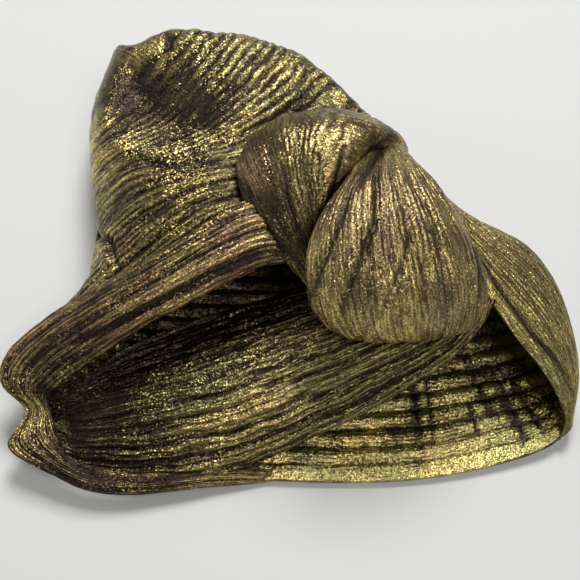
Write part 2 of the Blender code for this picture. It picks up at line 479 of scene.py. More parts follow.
def press(cloth, knit, **sizes):
    """Presses the cloth with the pleat tree, in its knit, and makes the result its plain mesh."""
    pleats = cloth.modifiers.new("pleats", "NODES")
    pleats.node_group = PRESSED_PLEATS
    given = {name.replace("_", " ").capitalize(): value for name, value in sizes.items()}
    given["Knit"] = knit
    for socket in PRESSED_PLEATS.interface.items_tree:
        if socket.in_out == "INPUT" and socket.name in given:
            pleats[socket.identifier] = given[socket.name]
    shapes = bpy.context.evaluated_depsgraph_get()
    pressed = bpy.data.meshes.new_from_object(cloth.evaluated_get(shapes))
    cloth.modifiers.remove(pleats)
    cloth.data = pressed
    cloth.data.name = cloth.name


FLECK = 0.55 * MM
YARN_ROUGHNESS = 0.36
# The width and length of streaks of worn gold and of single stitches, in millimetres.
STREAK = (0.9, 9.0)
STITCH = (0.45, 0.7)
# Cells a metre of the patches with more flecks, and of the clouds of the tint.
PATCH_CELLS = 75.0
CLOUD_CELLS = 26.0


def metallic_knit(name, gold, tint, glitter, tilt, gold_and_painted_light=1.0, even=0.0):
    """Black and gold yarn. The gold shows on the crests of the pleats and in loose flecks,
    and each fleck is turned its own way, so that some catch the light and others do not.
    The black between, in valleys and grooves, is partly painted shade, and the gold on crests
    and raised lines is partly a painted highlight.

    Glitter is the share of loose flecks, tilt how far flecks turn, gold_and_painted_light how
    much gold the crests have, which is also set higher or lower per knit as painted light or
    shade, and even how much of that the valleys have as well."""
    material = bpy.data.materials.new(name)
    material.use_nodes = True
    tree = material.node_tree
    shader = tree.nodes["Principled BSDF"]
    total = partial(sum_of, tree)
    product = partial(product_of, tree)

    def attribute(layer):
        return add_node(tree, "ShaderNodeAttribute", attribute_name=layer).outputs["Fac"]

    def mixed(share, low, high):
        """A colour between two."""
        mix = add_node(tree, "ShaderNodeMix", {0: share, 6: low, 7: high}, data_type="RGBA")
        return mix.outputs[2]

    def ramp(value, low, high, *span):
        """The value from low to high, stretched to the span, which is 0 to 1 if not given."""
        limits = {"Value": value, "From Min": low, "From Max": high}
        limits.update(zip(("To Min", "To Max"), span))
        return add_node(tree, "ShaderNodeMapRange", limits).outputs[0]

    def grain(width, length):
        """Coordinates with cells of that width across and length along, in millimetres."""
        return vector_of(
            tree,
            calculate(tree, "DIVIDE", attribute("across"), width * MM),
            calculate(tree, "DIVIDE", attribute("along"), length * MM),
            0.0,
        )

    def noise(vector, scale, detail):
        settings = {"Vector": vector, "Scale": scale, "Detail": detail}
        return add_node(tree, "ShaderNodeTexNoise", settings).outputs[0]

    def vector_sum(operation, *values, **sizes):
        settings = {**dict(enumerate(values)), **sizes}
        return add_node(tree, "ShaderNodeVectorMath", settings, operation=operation).outputs[0]

    crest = attribute("crest")
    place = add_node(tree, "ShaderNodeTexCoord").outputs["Object"]
    cells = {"Vector": place, "Scale": 1 / FLECK}
    scatter = add_node(tree, "ShaderNodeTexVoronoi", cells).outputs["Color"]
    chance = add_node(tree, "ShaderNodeSeparateColor", {0: scatter}).outputs[0]
    streak = noise(grain(*STREAK), 1.0, 2.0)
    weave = noise(grain(*STITCH), 1.0, 1.0)
    patches = noise(place, PATCH_CELLS, 3.0)
    cloud = noise(place, CLOUD_CELLS, 1.0)

    lively = ramp(patches, 0.38, 0.62)
    lines = ramp(streak, 0.42, 0.62)
    groove_shade = attribute("groove_shade")
    # Fewer loose flecks in grooves: painted shade.
    loose = product(
        ramp(chance, 1.0 - glitter, 1.1 - glitter),
        lively,
        ramp(lines, 0.0, 1.0, 0.3, 1.0),
        ramp(groove_shade, 0.0, 1.0, 1.0, 0.25),
    )
    # The gold share: cut in valleys and grooves as painted shade, raised on crests and raised
    # lines partly as a painted highlight, and scaled by how much gold the knit is given, which is
    # partly painted light.
    gold_and_painted_shade = product(
        ramp(crest, 0.35, 1.0, even, 1.0),
        ramp(lines, 0.0, 1.0, 0.35, 0.8),
        gold_and_painted_light,
        ramp(groove_shade, 0.0, 1.0, 1.0, 0.03),
        ramp(weave, 0.35, 0.55, 0.25, 1.0),
    )
    gilt = add_node(tree, "ShaderNodeClamp", {0: total(gold_and_painted_shade, loose)}).outputs[0]
    yarn = mixed(ramp(cloud, 0.42, 0.6), gold, tint)
    tree.links.new(mixed(gilt, GROUND, yarn), shader.inputs["Base Color"])
    tree.links.new(ramp(gilt, 0.0, 0.3, 0.85, 1.0), shader.inputs["Metallic"])
    shader.inputs["Roughness"].default_value = YARN_ROUGHNESS

    relief = total(product(weave, 0.4), product(streak, 0.9))
    bump = {"Strength": 0.9, "Distance": 0.5 * MM, "Height": relief}
    bump = add_node(tree, "ShaderNodeBump", bump)
    turned = vector_sum("SUBTRACT", scatter, (0.5, 0.5, 0.5))
    turned = vector_sum("SCALE", turned, Scale=tilt)
    facing = vector_sum("NORMALIZE", vector_sum("ADD", bump.outputs[0], turned))
    tree.links.new(facing, shader.inputs["Normal"])
    return material


GROUND = (0.040, 0.026, 0.020, 1)
YELLOW_GOLD = (0.95, 0.74, 0.28, 1)
OLIVE_GOLD = (0.62, 0.56, 0.22, 1)
COPPER_GOLD = (0.66, 0.42, 0.22, 1)
BROWN_GOLD = (0.62, 0.46, 0.22, 1)

PANEL_PITCH = 9 * MM
# How close the panel's columns are, at shares of the way from the hem to the far edge. They
# are close where the mouth shows them.
PANEL_DENSITY = [(0, 3), (0.4, 3), (0.5, 0.6), (1, 0.6)]
# The hem's width, the strip behind it where the puckers set in, how far the hem is raised,
# and the strip along the far edge where they die away.
HEM_WIDTH = 7 * MM
HEM_BLEND = 2 * MM
HEM_RISE = 1 * MM
FAR_BLEND = 14 * MM
cage = section_cage(BACK_PANEL_SECTIONS, count=10, curl=0.0)
points = smooth_grid(cage, rows=281, columns=241, density=PANEL_DENSITY)
# Besides their lift, the panel's creases paint: a highlight on the raised line along the hem,
# shade in the slots between the puckers, and mostly painted shade in the two broad, shallow
# grooves at its left.
PANEL_CREASES = [
    Crease(((-60, -73), (0, -73), (53, -72), (92, -66), (116, -59), (136, -46)), 4.2, 0.4),
    Crease(((61, -24), (62.5, -62)), 2.2, -0.8),
    Crease(((68, -26), (69, -57)), 1.5, -0.8),
    Crease(((84, -4), (90, -20), (99, -46)), 2.2, -0.8),
    Crease(((88, -38), (90, -54)), 1.2, -0.7),
    Crease(((101, -20), (107, -37), (113, -58)), 3.0, -0.8),
    Crease(((109, -24), (116, -38), (122, -54)), 2.4, -0.8),
    Crease(((94, -22), (101, -30)), 1.3, -0.5),
    Crease(((-118, -40), (-98, -34), (-78, -18), (-56, 0), (-28, 16), (10, 28)), 10.0, -0.6),
    Crease(((-126, -36), (-113, -43), (-101, -56), (-90, -68)), 8.0, -0.6),
]
from_hem = np.zeros(points.shape[:2])
from_hem[:, 1:] = np.cumsum(np.linalg.norm(np.diff(points, axis=1), axis=2), axis=1)
fields = (from_hem, even_fields(points)[1])
calm = ((from_hem - HEM_WIDTH) / HEM_BLEND).clip(0.08, 1)
calm_behind = ((from_hem[:, -1:] - from_hem) / FAR_BLEND).clip(0.05, 1)
points[..., 2] += (1 - calm) * HEM_RISE
calm = calm * calm_behind
back_panel = walled_cloth(
    "back_panel_knit", points, PANEL_PITCH, fields, PANEL_CREASES, lift=WALL, calm=calm
)
# Painted light: the inside knit has far more gold than the rest, so that the panel looks lit where
# it shows through the mouth.
inside_knit = metallic_knit(
    "inside knit with painted light", YELLOW_GOLD, OLIVE_GOLD, glitter=0.55, tilt=0.7, gold_and_painted_light=3.6, even=0.03
)
press(
    back_panel,
    inside_knit,
    pleat_depth=2.2 * MM,
    gather_depth=0.0,
    gather_pleats=3.0,
    wander=0.25,
    rib_depth=0.2 * MM,
    ribs_a_pleat=5.0,
    ruck_depth=0.35 * MM,
    ruck_spacing=4.5 * MM,
    crinkle_depth=1.0 * MM,
    crinkle_size=2.2 * MM,
    seed=1.0,
)
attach(back_panel, "root")
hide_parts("back_panel")

# Crown: the gathered bag of the cap, fanned out from the knot. It is the same pleated
# knit, and its pleats leave the knot in a fan that lies over on both sides of a ridge.
CROWN_SECTIONS = [
    Section((-126, -31, 28), (-122, -32, 17), (-112, -38, 8)),
    Section((-112, -18, 37), (-107, -12, 22), (-103, -14, 4)),
    Section((-94, -9, 46), (-97, 18, 31), (-95, 18, 3)),
    Section((-72, -1, 55), (-101, 48, 39), (-99, 48, 3)),
    Section((-56, 5, 62), (-105, 76, 45), (-103, 80, 3)),
    Section((-44, 10, 68), (-107, 98, 51), (-105, 110, 3)),
    Section((-34, 16, 71), (-102, 120, 56), (-103, 139, 3)),
    Section((-24, 24, 74), (-96, 139, 60), (-98, 153, 3)),
    Section((-22, 33, 73), (-95, 149, 63), (-94, 160, 3)),
    Section((-20, 38, 72), (-84, 144, 63), (-86, 157, 3)),
    Section((-19, 42, 71), (-69, 156, 68), (-76, 168, 3)),
    Section((-13, 56, 71), (-40, 150, 70), (-48, 162, 3)),
    Section((-2, 70, 67), (-15, 145, 69), (-20, 153, 3)),
    Section((14, 80, 59), (6, 134, 68), (4, 137, 3)),
    Section((31, 80, 55), (24, 118, 62), (26, 119, 3)),
    Section((46, 68, 60), (44, 97, 51), (46, 98, 3)),
    Section((53, 46, 77), (60, 75, 51), (60, 81, 3)),
    Section((64.2, 15.8, 75), (74.2, 49.8, 49), (72.2, 66.4, 3)),
]
CROWN_FOLDS = [
    Fold(0.485, 0.31, 0.15, 0.13, -20),
    Fold(0.48, 0.26, 0.14, 0.08, -6),
    Fold(0.39, 0.41, 0.07, 0.08, -9),
    Fold(0.43, 0.37, 0.09, 0.08, -8),
    Fold(0.49, 0.50, 0.13, 0.05, 4),
    Fold(0.29, 0.28, 0.08, 0.09, 5),
    Fold(0.68, 0.46, 0.11, 0.07, 2),
    Fold(0.15, 0.30, 0.05, 0.20, -5),
    Fold(0.235, 0.62, 0.05, 0.12, -4),
]
# Besides their lift, the crown's creases paint shade into their grooves and highlights on their
# raised lines. The four broad, shallow ones are mostly painted light: painted shade over the dent,
# and painted highlights along the left edge and the far edge.
CROWN_CREASES = [
    Crease(((-107, 47), (-98, 45), (-89, 42), (-82, 28)), 1.8, -3.0),
    Crease(((-101, 41), (-92, 36), (-88, 28)), 2.5, 1.5),
    Crease(((-71, 165), (-66, 150)), 2.0, -2.0),
    Crease(((-33, 80), (-62, 78), (-84, 88)), 2.2, -1.2),
    Crease(((-112, 144), (-90, 136), (-68, 126), (-45, 114), (-26, 103)), 14.0, -0.32),
    Crease(((-104, 128), (-88, 118), (-66, 106), (-48, 96)), 9.0, -0.2),
    Crease(((-108, 118), (-110, 88), (-103, 50)), 9.0, 0.3),
    Crease(((-60, 159), (-17, 150), (6, 141), (30, 119)), 9.0, 0.15),
]
# The way the pleats lie: at a place in the view from over the mouth, across and up in
# millimetres, the slope of the pleats in degrees.
Lay = namedtuple("Lay", "across up slope")
CROWN_LAY = [
    Lay(-29, 78, 8),
    Lay(-64, 76, 12),
    Lay(-99, 83, 24),
    Lay(-57, 46, 35),
    Lay(-82, 36, 38),
    Lay(-99, 54, 40),
    Lay(-75, 118, 48),
    Lay(-99, 118, 52),
    Lay(-73, 151, 48),
    Lay(-33, 145, 57),
    Lay(5, 134, 58),
    Lay(-32, 112, 48),
    Lay(-15, 103, 40),
    Lay(-37, 87, 25),
    Lay(21, 116, 52),
    Lay(60, 100, 60),
]


def fold_cage(cage, folds):
    """Lifts a cage's points straight up by the folds."""
    rows, columns = cage.shape[:2]
    along = np.linspace(0, 1, rows)[:, None]
    across = np.linspace(0, 1, columns)[None, :]
    for fold in folds:
        away = ((along - fold.along) / fold.reach_along) ** 2
        away = away + ((across - fold.across) / fold.reach_across) ** 2
        cage[..., 2] += fold.lift * MM * np.exp(-away)
    return cage


# Keeps directions in bounds where the cloth is seen from its side.
SIDEWAYS = 0.05


def pleat_directions(points, lay, reach):
    """The direction of the pleats in the cloth at every point, as unit vectors.

    It is the direction in the cloth that looks as steep as the table says in the view."""
    places = view_places(points)
    total, weights = 0, 0
    for row in lay:
        away = places - np.array((row.across, row.up)) * MM
        weight = 1 / (reach**2 + (away**2).sum(axis=-1)) ** 2
        slope = math.radians(row.slope)
        direction = np.array((math.cos(slope), 0, 0)) + math.sin(slope) * VIEW_UP
        total = total + weight[..., None] * direction
        weights = weights + weight
    directions = total / weights[..., None]
    normals = grid_normals(points)
    facing = (normals @ TO_VIEW)[..., None]
    away = (directions * normals).sum(axis=-1, keepdims=True)
    directions -= TO_VIEW * away * facing / (facing**2 + SIDEWAYS)
    directions -= normals * (directions * normals).sum(axis=-1, keepdims=True)
    return directions / np.linalg.norm(directions, axis=-1, keepdims=True)


def distance_across(points, directions, rounds=900, hold=20.0):
    """Distances over the cloth across the directions, so that lines of equal distance
    follow them.

    It solves for the field whose slope is 1 across the directions and, held more firmly,
    0 along them."""

    def slopes(field):
        down = field[1:] - field[:-1]
        right = field[:, 1:] - field[:, :-1]
        return (down[:, 1:] + down[:, :-1]) / 2, (right[1:] + right[:-1]) / 2

    def gathered(down, right):
        out = np.zeros(points.shape[:2])
        out[1:, 1:] += down + right
        out[1:, :-1] += down - right
        out[:-1, 1:] += right - down
        out[:-1, :-1] -= down + right
        return out / 2

    side_down, side_right = slopes(points)
    normals = np.cross(side_down, side_right)
    area = np.linalg.norm(normals, axis=-1)
    normals = normals / area[..., None].clip(1e-12)
    with_pleats = (directions[1:, 1:] + directions[:-1, :-1]) / 2
    cross_pleats = np.cross(normals, with_pleats)
    # The cell's two dual vectors turn the field's steps into a slope along any direction.
    dual_down = np.cross(side_right, normals) / area[..., None].clip(1e-12)
    dual_right = np.cross(normals, side_down) / area[..., None].clip(1e-12)
    parts = [
        ((dual_down * way).sum(axis=-1), (dual_right * way).sum(axis=-1), weight)
        for way, weight in ((with_pleats, hold), (cross_pleats, 1.0))
    ]
    scale = area / area.mean()

    def energy_slope(field, goals):
        down, right = slopes(field)
        to_down, to_right = 0, 0
        for (by_down, by_right, weight), goal in zip(parts, goals):
            miss = (by_down * down + by_right * right - goal) * weight * scale
            to_down = to_down + miss * by_down
            to_right = to_right + miss * by_right
        return gathered(to_down, to_right)

    field = np.zeros(points.shape[:2])
    residual = -energy_slope(field, (0.0, 1.0))
    search = residual.copy()
    strength = (residual**2).sum()
    for _ in range(rounds):
        pull = energy_slope(search, (0.0, 0.0))
        step = strength / (search * pull).sum()
        field += step * search
        residual -= step * pull
        before, strength = strength, (residual**2).sum()
        search = residual + search * strength / before
    return field


def laid_fields(points, lay, thin=4):
    """Distances across and along pleats that lie as the table says, solved on every
    thin-th row and column and read smoothly between them."""
    coarse = points[::thin, ::thin]
    with_pleats = pleat_directions(coarse, lay, LAY_REACH)
    over_pleats = np.cross(grid_normals(coarse), with_pleats)
    weights = [
        spline_weights(few, np.linspace(0, few - 1, many))
        for few, many in zip(coarse.shape, points.shape[:2])
    ]
    return [
        np.einsum("ri,ij,cj->rc", weights[0], distance_across(coarse, way), weights[1])
        for way in (with_pleats, -over_pleats)
    ]


LAY_REACH = 12 * MM
CROWN_PITCH = 3.3 * MM
# How close the crown's columns are, from its near edge to the far one.
CROWN_DENSITY = [(0, 1.4), (0.5, 1.4), (0.6, 0.45), (1, 0.45)]
# The near edge is tucked this far under the left band and the knot.
CROWN_TUCK = np.array((2, -7, -6)) * MM
# The pleats' depth falls from the first share to the second between two heights in the view.
DEPTH_HEIGHTS = (60 * MM, 120 * MM)
DEPTH_SHARES = (1.15, 0.7)
cage = fold_cage(section_cage(CROWN_SECTIONS, count=10, curl=0.7), CROWN_FOLDS)
cage[1:14, 0] += CROWN_TUCK
points = smooth_grid(cage, rows=489, columns=189, density=CROWN_DENSITY)
fields = laid_fields(points, CROWN_LAY)
calm = np.interp(view_places(points)[..., 1], DEPTH_HEIGHTS, DEPTH_SHARES)
crown = walled_cloth("crown_knit", points, CROWN_PITCH, fields, CROWN_CREASES, calm=calm)
crown_knit = metallic_knit(
    "crown knit", YELLOW_GOLD, OLIVE_GOLD, glitter=0.24, tilt=0.7, gold_and_painted_light=1.1
)
press(
    crown,
    crown_knit,
    pleat_depth=1.5 * MM,
    gather_depth=1.2 * MM,
    gather_pleats=2.7,
    wander=0.45,
    rib_depth=0.0,
    ribs_a_pleat=2.0,
    ruck_depth=0.03 * MM,
    ruck_spacing=4.0 * MM,
    crinkle_depth=0.3 * MM,
    crinkle_size=2.4 * MM,
    seed=2.0,
)
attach(crown, "root")
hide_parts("crown")

# Left band: the cloth that leaves the knot to the left along the mouth's edge and turns
# back on itself round the lower left rim. Its ribs run along it, pressed nearly flat.
LEFT_BAND_SECTIONS = [
    Section((-4, 27, 72), (1, 10, 68), (6, -2, 56)),
    Section((-23, 22, 74), (-17, 4, 74), (-11, -5, 58)),
    Section((-47, 8, 66), (-43, -10, 68), (-38, -17, 52)),
    Section((-70, -2, 56), (-66, -19, 60), (-60, -26, 44)),
    Section((-95, -10, 46), (-91, -29, 50), (-86, -38, 34)),
    Section((-117, -20, 36), (-111, -37, 40), (-101, -48, 27)),
    Section((-137, -34, 28), (-125, -46, 31), (-111, -54, 24)),
    Section((-140, -51, 21), (-127, -54, 25), (-113, -57, 22)),
    Section((-116, -60, 19), (-114, -60, 20), (-111, -60, 19)),
    Section((-137, -77, 15), (-122, -73, 19), (-109, -67, 16)),
    Section((-114, -86, 12), (-107, -84, 17), (-101, -79, 13)),
    Section((-91, -98, 8), (-89, -93, 14), (-87, -86, 10)),
    Section((-64, -97, 6), (-63, -93, 11), (-62, -88, 8)),
    Section((-39, -92, 4), (-39, -88, 9), (-39, -82, 7)),
    Section((-21, -90, 1), (-21, -87, 6), (-22, -81, 5)),
    Section((-8, -88, 1), (-8, -86, 3), (-9, -83, 2)),
]
# Besides their lift, the creases paint shade into their grooves and highlights on their raised
# lines; the two broad, shallow grooves are mostly painted shade.
LEFT_BAND_CREASES = [
    Crease(
        ((-116, -27), (-110, -34), (-106, -46), (-99, -58), (-87, -66), (-64, -69), (-40, -66)),
        2.8,
        -2.5,
    ),
    Crease(((-118, -46), (-111, -60), (-96, -72), (-70, -77), (-45, -72)), 6.0, -0.25),
    Crease(((-96, -2), (-66, 14), (-38, 28), (-10, 42)), 2.2, 0.6),
    Crease(((-100, -8), (-68, 8), (-40, 22), (-12, 34)), 1.6, -0.8),
    Crease(((-104, -14), (-72, 2), (-44, 15), (-14, 26)), 1.8, 0.5),
    Crease(((-134, -30), (-112, -16), (-88, -2), (-64, 10)), 9.0, -0.15),
]
LEFT_BAND_PITCH = 1.9 * MM
points = smooth_grid(section_cage(LEFT_BAND_SECTIONS, count=6, curl=0.7), rows=321, columns=81)
fields = even_fields(points)
left_band = walled_cloth("left_band_knit", points, LEFT_BAND_PITCH, fields, LEFT_BAND_CREASES)
band_knit = metallic_knit(
    "ribbed band knit", YELLOW_GOLD, COPPER_GOLD, glitter=0.2, tilt=0.6, gold_and_painted_light=1.3
)
press(
    left_band,
    band_knit,
    pleat_depth=0.7 * MM,
    gather_depth=0.8 * MM,
    gather_pleats=3.7,
    wander=0.8,
    rib_depth=0.25 * MM,
    ribs_a_pleat=2.3,
    ruck_depth=0.08 * MM,
    ruck_spacing=2.0 * MM,
    crinkle_depth=0.4 * MM,
    crinkle_size=2.5 * MM,
    seed=3.0,
)
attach(left_band, "root")
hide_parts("left_band")

# Under wrap: the wrap that passes from the lower left rim up under the knot, inside the
# mouth. Its ribs are loose and waver, and its near edge is a double rib.
UNDER_WRAP_SECTIONS = [
    Section((-119, -72, 4), (-115, -60, 6), (-111, -50, 8)),
    Section((-107, -84, 4), (-102, -60, 10), (-98, -34, 11)),
    Section((-84, -91, 4), (-80, -62, 20), (-78, -18, 13)),
    Section((-49, -90, 5), (-48, -58, 27), (-48, -4, 10)),
    Section((-20, -86, 8), (-24, -53, 31), (-29, 6, 11)),
    Section((9, -73, 13), (1, -44, 34), (-9, 6, 18)),
    Section((42, -60, 22), (26, -33, 38), (9, -2, 38)),
    Section((69, -47, 32), (51, -28, 41), (32, -8, 44)),
    Section((87, -34, 42), (72, -21, 45), (56, -8, 46)),
    Section((94, -22, 54), (81, -12, 52), (70, -2, 48)),
]
# Besides its lift, the deep groove under the left band paints shade into the pocket there; the
# other creases paint shade into their grooves, and the broad raised one a highlight.
UNDER_WRAP_CREASES = [
    Crease(((-114, -36), (-86, -23), (-56, -7), (-28, 8), (10, 18)), 11.0, -2.0),
    Crease(((-117, -28), (-109, -40), (-103, -51), (-92, -60), (-70, -64), (-50, -62)), 4.5, -0.6),
    Crease(((-60, -46), (-36, -41), (-14, -34), (15, -25), (46, -10)), 8.0, 0.25),
    Crease(((-112, -38), (-92, -44), (-72, -46), (-48, -52)), 9.0, -0.22),
]
UNDER_WRAP_PITCH = 3.0 * MM
points = smooth_grid(section_cage(UNDER_WRAP_SECTIONS, count=6, curl=0.0), rows=221, columns=241)
fields = even_fields(points)
under_wrap = walled_cloth("under_wrap_knit", points, UNDER_WRAP_PITCH, fields, UNDER_WRAP_CREASES)
wrap_knit = metallic_knit("dark wrap knit", YELLOW_GOLD, OLIVE_GOLD, glitter=0.18, tilt=0.6)
press(
    under_wrap,
    wrap_knit,
    pleat_depth=1.1 * MM,
    gather_depth=1.4 * MM,
    gather_pleats=2.6,
    wander=1.4,
    rib_depth=0.3 * MM,
    ribs_a_pleat=2.4,
    ruck_depth=0.15 * MM,
    ruck_spacing=3.0 * MM,
    crinkle_depth=0.5 * MM,
    crinkle_size=2.5 * MM,
    seed=4.0,
)
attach(under_wrap, "root")
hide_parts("under_wrap")

# Right band: the cloth that leaves the knot to the right and goes round the mouth down to
# the table. It is drawn smooth, so its ribs are fine and shallow.
RIGHT_BAND_SECTIONS = [
    Section((65, 15, 75), (75, 49, 49), (73, 66, 3)),
    Section((79, -4, 66), (88, 34, 49), (90, 54, 3)),
    Section((91, -21, 53), (102, 23, 49), (106, 43, 3)),
    Section((107, -37, 38), (118, 15, 46), (122, 30, 3)),
    Section((119, -46, 29), (131, -3, 38), (133, 12, 3)),
    Section((127, -57, 19), (138, -26, 27), (137, -15, 3)),
    Section((131, -64, 12), (139, -46, 17), (138, -40, 3)),
    Section((126, -69, 5), (132, -66, 8), (135, -60, 3)),
]
# Besides their lift, the raised rib along the inner edge gets a painted highlight and the groove
# beside it painted shade.
RIGHT_BAND_CREASES = [
    Crease(
        ((70, 54), (81.5, 36.5), (93.5, 15), (109.5, -6.5), (121.5, -19.5), (129.5, -34)), 1.9, 0.9
    ),
    Crease(((74, 57), (84.5, 39), (97, 17.5), (112.5, -3.5), (125, -16.5), (133, -33)), 1.0, -1.0),
]
RIGHT_BAND_PITCH = 1.7 * MM
points = smooth_grid(section_cage(RIGHT_BAND_SECTIONS, count=8, curl=0.7), rows=161, columns=257)
fields = even_fields(points)
right_band = walled_cloth("right_band_knit", points, RIGHT_BAND_PITCH, fields, RIGHT_BAND_CREASES)
# Painted light: this band's gold is set higher, to brighten it.
smooth_knit = metallic_knit(
    "smooth band knit", YELLOW_GOLD, OLIVE_GOLD, glitter=0.2, tilt=0.5, gold_and_painted_light=1.5, even=0.4
)
press(
    right_band,
    smooth_knit,
    pleat_depth=0.35 * MM,
    gather_depth=0.5 * MM,
    gather_pleats=4.3,
    wander=0.6,
    rib_depth=0.0,
    ribs_a_pleat=2.0,
    ruck_depth=0.05 * MM,
    ruck_spacing=1.6 * MM,
    crinkle_depth=0.25 * MM,
    crinkle_size=2.0 * MM,
    seed=5.0,
)
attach(right_band, "root")
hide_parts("right_band")

# Knot: two gathered bundles of the same cloth, wound over each other. Each is soft and
# full, and its ribs run from one end to the other and crowd together there.
# One section of a bundle: the same as a section of cloth, with the depth of its hidden side.
Bundle = namedtuple("Bundle", "edge_a crest edge_b depth")
LEFT_LOOP_SECTIONS = [
    Bundle((34, 91, 46), (49, 77, 60), (60, 58, 66), 8),
    Bundle((17, 89, 58), (39, 76, 77), (56, 50, 80), 12),
    Bundle((-5, 77, 66), (20, 67, 90), (46, 43, 88), 14),
    Bundle((-22, 60, 70), (3, 51, 97), (36, 33, 90), 14),
    Bundle((-28, 43, 71), (-4, 33, 95), (29, 22, 88), 12),
    Bundle((-25, 25, 70), (-4, 16, 87), (24, 15, 82), 9),
    Bundle((-13, 5, 66), (1, 1, 75), (18, 7, 74), 6),
    Bundle((2, -10, 57), (10, -11, 59), (18, -8, 58), 4),
    Bundle((14, -20, 50), (29, -19, 52), (44, -18, 50), 3),
]
RIGHT_LOOP_SECTIONS = [
    Bundle((42, 68, 68), (47, 68, 71), (51, 65, 68), 3),
    Bundle((33, 36, 86), (44, 43, 88), (53, 45, 80), 5),
    Bundle((22, 12, 92), (44, 23, 98), (63, 30, 82), 9),
    Bundle((9, -6, 90), (45, 3, 101), (73, 15, 78), 13),
    Bundle((4, -22, 80), (49, -20, 96), (82, 1, 70), 16),
    Bundle((6, -34, 68), (54, -39, 79), (91, -12, 60), 16),
    Bundle((13, -39, 57), (56, -46, 59), (92, -23, 52), 14),
    Bundle((26, -39, 50), (58, -43, 47), (88, -32, 47), 9),
    Bundle((42, -30, 47), (61, -31, 44), (80, -28, 46), 3),
]
LEFT_LOOP_LAY = [
    Lay(-21, 68, 120),
    Lay(-9, 54, 122),
    Lay(5, 40, 122),
    Lay(5, 68, 108),
    Lay(18, 59, 100),
    Lay(-13, 82, 112),
    Lay(7, 87, 94),
    Lay(23, 87, 82),
    Lay(37, 92, 65),
    Lay(32, 68, 90),
]
# Besides their lift, the loops' creases paint shade into their grooves and highlights on their
# raised lines; the broad, shallow ones are mostly painted shade on the left loop and a painted
# highlight on the right loop's right side.
LEFT_LOOP_CREASES = [
    Crease(((-22, 74), (-16, 52), (-4, 36), (6, 28)), 1.5, -1.0),
    Crease(((-3, 76), (-1, 56), (6, 36)), 1.3, -0.7),
    Crease(((25, 84), (20, 62), (12, 40)), 1.5, -0.8),
    Crease(((-24, 82), (-18, 70), (-12, 60)), 3.4, 0.8),
    Crease(((50, 92), (40, 81), (30, 68), (18, 50), (8, 36)), 3.2, -3.0),
    Crease(((-30, 74), (-16, 62), (-4, 50), (6, 38), (14, 28)), 11.0, -0.3),
]
RIGHT_LOOP_CREASES = [
    Crease(((38, 74), (36, 46), (28, 26), (21, 8)), 1.4, -1.6),
    Crease(((33, 66), (30, 44), (22, 24), (14, 6)), 4.0, 1.2),
    Crease(((52, 44), (46, 24), (38, 8), (30, -6)), 1.3, -1.2),
    Crease(((48, 34), (41, 14), (34, -2)), 2.8, 0.6),
    Crease(((66, 70), (80, 48), (84, 26), (83, 0)), 1.3, -1.0),
    Crease(((26, 60), (17, 34), (7, 10)), 1.3, -0.8),
    Crease(((52, 94), (42, 84), (34, 72), (24, 56)), 2.4, -2.5),
    Crease(((62, 66), (72, 36), (74, 6)), 9.0, 0.45),
]
# Control steps over the seen arch of a section, and how far past it the fine columns go.
SEEN_STEPS = 6
SEEN_MARGIN = 0.6
LOOP_FADE_LIMITS = (0.3, 1.2)


def bundle_cage(bundles):
    """Rings of control points: the seen arch of each section, then its hidden side."""
    seen = section_cage([Section(*bundle[:3]) for bundle in bundles], SEEN_STEPS, 1.0)
    rings = []
    turn = np.linspace(0, math.pi, SEEN_STEPS + 1)[:, None]
    for bundle, arch in zip(bundles, seen):
        edge_a, crest, edge_b = (np.array(point) * MM for point in bundle[:3])
        swell = crest - (edge_a + edge_b) / 2
        swell = swell / np.linalg.norm(swell) * bundle.depth * MM
        hidden = edge_a + (edge_b - edge_a) * (1 - np.cos(turn)) / 2 - swell * np.sin(turn)
        rings.append(np.concatenate((arch, hidden[-2:0:-1])))
    return np.array(rings)


